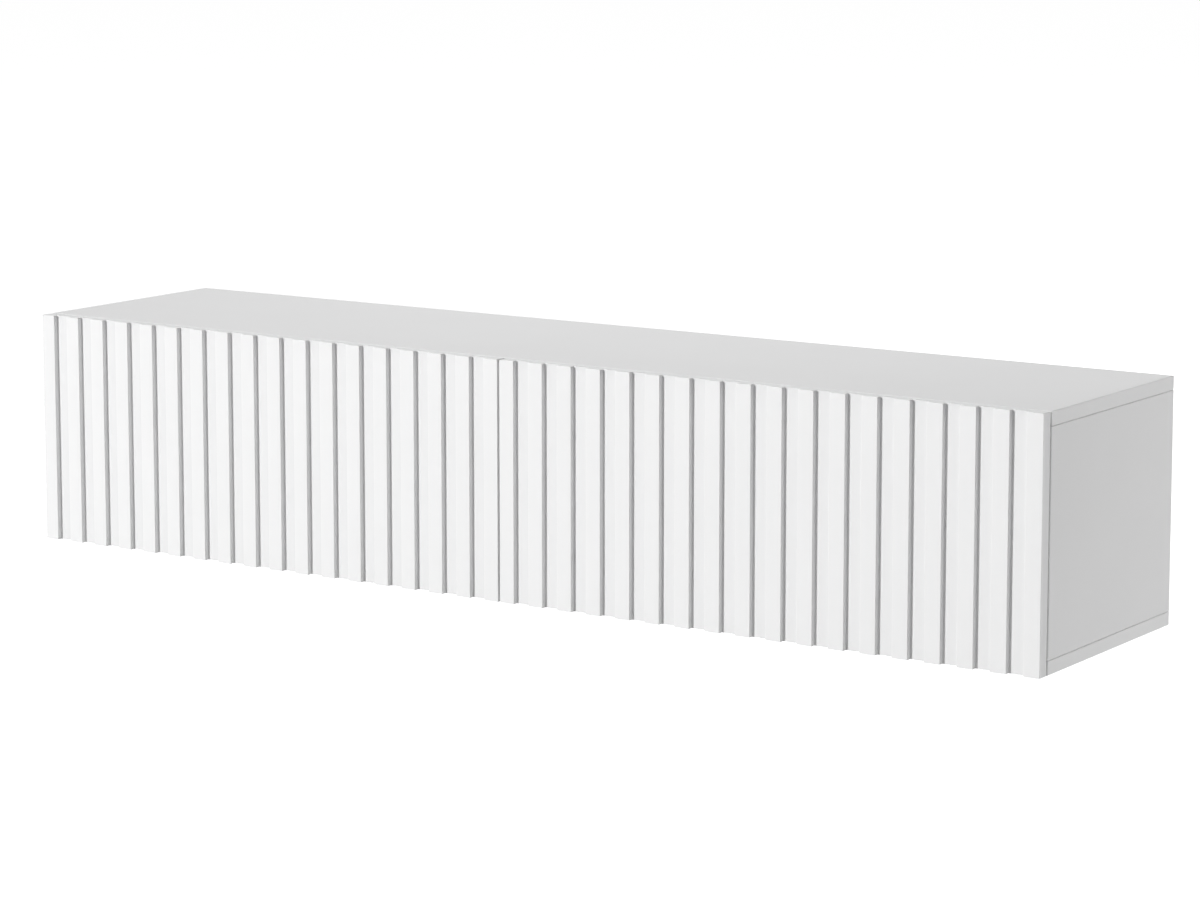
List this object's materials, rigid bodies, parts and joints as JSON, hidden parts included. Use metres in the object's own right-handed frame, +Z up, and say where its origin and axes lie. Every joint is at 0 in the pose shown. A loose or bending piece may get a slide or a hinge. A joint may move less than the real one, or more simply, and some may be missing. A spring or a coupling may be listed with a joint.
{
  "type": "tv stand",
  "caption": "Long low wall-hung tv cabinet in matt white, with two ribbed drop-down flaps on hidden hinges, sliding stays and push latches.",
  "frame": {"origin": "middle of the footprint, level with the underside; the wall plane is at +Y and the rib fronts are at -Y", "axes": "+X to the right of a viewer who faces the front, +Y towards the wall, +Z up"},
  "size_m": [1.4, 0.32, 0.285],
  "materials": {
    "white_board": "white melamine-faced board, matt",
    "white_lacquer": "white satin lacquer on milled fibreboard",
    "white_hardboard": "thin hardboard, painted white",
    "zinc": "nickel-plated zinc casting",
    "steel": "zinc-plated steel",
    "grey_plastic": "grey moulded plastic",
    "white_plastic": "white moulded plastic"
  },
  "bodies": {
    "carcass": {"top_panel": "white_board", "bottom_panel": "white_board", "left_side_panel": "white_board", "right_side_panel": "white_board", "centre_partition": "white_board", "back_panel": "white_hardboard", "left_flap_outer_hinge_arm": "zinc", "left_flap_outer_hinge_plate": "steel", "left_flap_inner_hinge_arm": "zinc", "left_flap_inner_hinge_plate": "steel", "right_flap_outer_hinge_arm": "zinc", "right_flap_outer_hinge_plate": "steel", "right_flap_inner_hinge_arm": "zinc", "right_flap_inner_hinge_plate": "steel", "left_stay_side_plate": "steel", "right_stay_side_plate": "steel", "left_latch_housing": "white_plastic", "right_latch_housing": "white_plastic", "left_hanger_housing": "white_plastic", "left_hanger_hook": "steel", "left_wall_plate": "steel", "right_hanger_housing": "white_plastic", "right_hanger_hook": "steel", "right_wall_plate": "steel"},
    "left_flap": {"left_flap_board": "white_lacquer", "left_flap_outer_hinge_housing": "zinc", "left_flap_outer_hinge_pin": "steel", "left_flap_inner_hinge_housing": "zinc", "left_flap_inner_hinge_pin": "steel", "left_stay_flap_bracket": "zinc", "left_latch_strike": "steel"},
    "right_flap": {"right_flap_board": "white_lacquer", "right_flap_outer_hinge_housing": "zinc", "right_flap_outer_hinge_pin": "steel", "right_flap_inner_hinge_housing": "zinc", "right_flap_inner_hinge_pin": "steel", "right_stay_flap_bracket": "zinc", "right_latch_strike": "steel"},
    "left_brake_block": {"left_stay_brake_block": "grey_plastic"},
    "right_brake_block": {"right_stay_brake_block": "grey_plastic"},
    "left_rod": {"left_stay_rod": "steel"},
    "right_rod": {"right_stay_rod": "steel"},
    "left_plunger": {"left_latch_plunger": "grey_plastic"},
    "right_plunger": {"right_latch_plunger": "grey_plastic"}
  },
  "joints": [
    {"name": "left_flap_hinge", "type": "hinge", "parent": "carcass", "child": "left_flap", "pos_m": [-0.3505, -0.152, 0.005], "axis": [1, 0, 0], "range_deg": [0, 90]},
    {"name": "right_flap_hinge", "type": "hinge", "parent": "carcass", "child": "right_flap", "pos_m": [0.3505, -0.152, 0.005], "axis": [1, 0, 0], "range_deg": [0, 90]},
    {"name": "left_brake_block_turn", "type": "hinge", "parent": "carcass", "child": "left_brake_block", "pos_m": [-0.6721, -0.09274, 0.10935], "axis": [1, 0, 0], "range_deg": [0, 45]},
    {"name": "right_brake_block_turn", "type": "hinge", "parent": "carcass", "child": "right_brake_block", "pos_m": [0.6721, -0.09274, 0.10935], "axis": [1, 0, 0], "range_deg": [0, 45]},
    {"name": "left_rod_turn", "type": "hinge", "parent": "left_flap", "child": "left_rod", "pos_m": [-0.6721, -0.132, 0.12332], "axis": [1, 0, 0], "range_deg": [-45, 0]},
    {"name": "right_rod_turn", "type": "hinge", "parent": "right_flap", "child": "right_rod", "pos_m": [0.6721, -0.132, 0.12332], "axis": [1, 0, 0], "range_deg": [-45, 0]},
    {"name": "left_plunger_slide", "type": "slide", "parent": "carcass", "child": "left_plunger", "axis": [0, -1, 0], "range_m": [0, 0.014]},
    {"name": "right_plunger_slide", "type": "slide", "parent": "carcass", "child": "right_plunger", "axis": [0, -1, 0], "range_m": [0, 0.014]}
  ],
  "couplings": [
    {"joint": "left_brake_block_turn", "follows": "left_flap_hinge", "ratio": 0.5},
    {"joint": "right_brake_block_turn", "follows": "right_flap_hinge", "ratio": 0.5},
    {"joint": "left_rod_turn", "follows": "left_flap_hinge", "ratio": -0.5},
    {"joint": "right_rod_turn", "follows": "right_flap_hinge", "ratio": -0.5},
    {"joint": "left_plunger_slide", "follows": "left_flap_hinge", "m_per_rad": 0.00891},
    {"joint": "right_plunger_slide", "follows": "right_flap_hinge", "m_per_rad": 0.00891}
  ]
}
